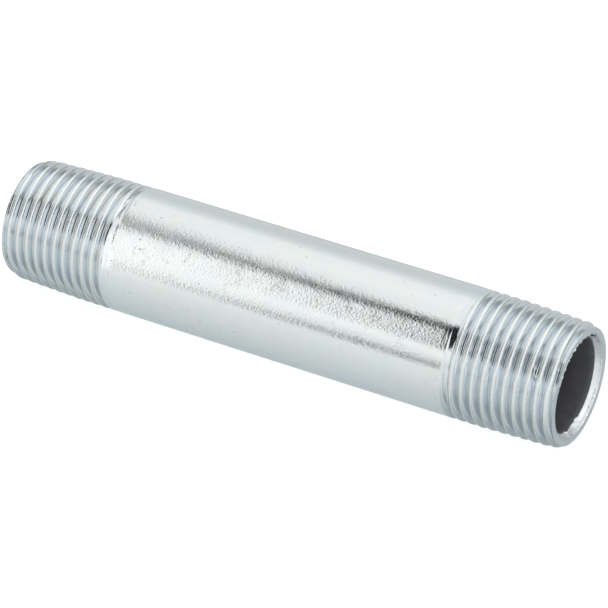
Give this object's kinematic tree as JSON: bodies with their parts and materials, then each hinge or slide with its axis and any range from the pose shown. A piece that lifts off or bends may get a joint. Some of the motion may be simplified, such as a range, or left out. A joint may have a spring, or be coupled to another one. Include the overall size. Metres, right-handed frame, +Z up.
{
  "type": "pipe nipple",
  "caption": "Straight steel pipe nipple, bright zinc plated, with a tapered male pipe thread on each end, a plain round barrel between them and an open bore.",
  "frame": {"origin": "middle of the pipe, on its axis", "axes": "+X along the pipe's axis towards the end with the shorter thread, +Z up with the pipe lying down"},
  "size_m": [0.1016, 0.0214, 0.0214],
  "materials": {
    "zinc_plate": "bright zinc electroplate over drawn steel, faintly iridescent in the threads"
  },
  "bodies": {
    "root": {"pipe_nipple": "zinc_plate"}
  },
  "joints": []
}
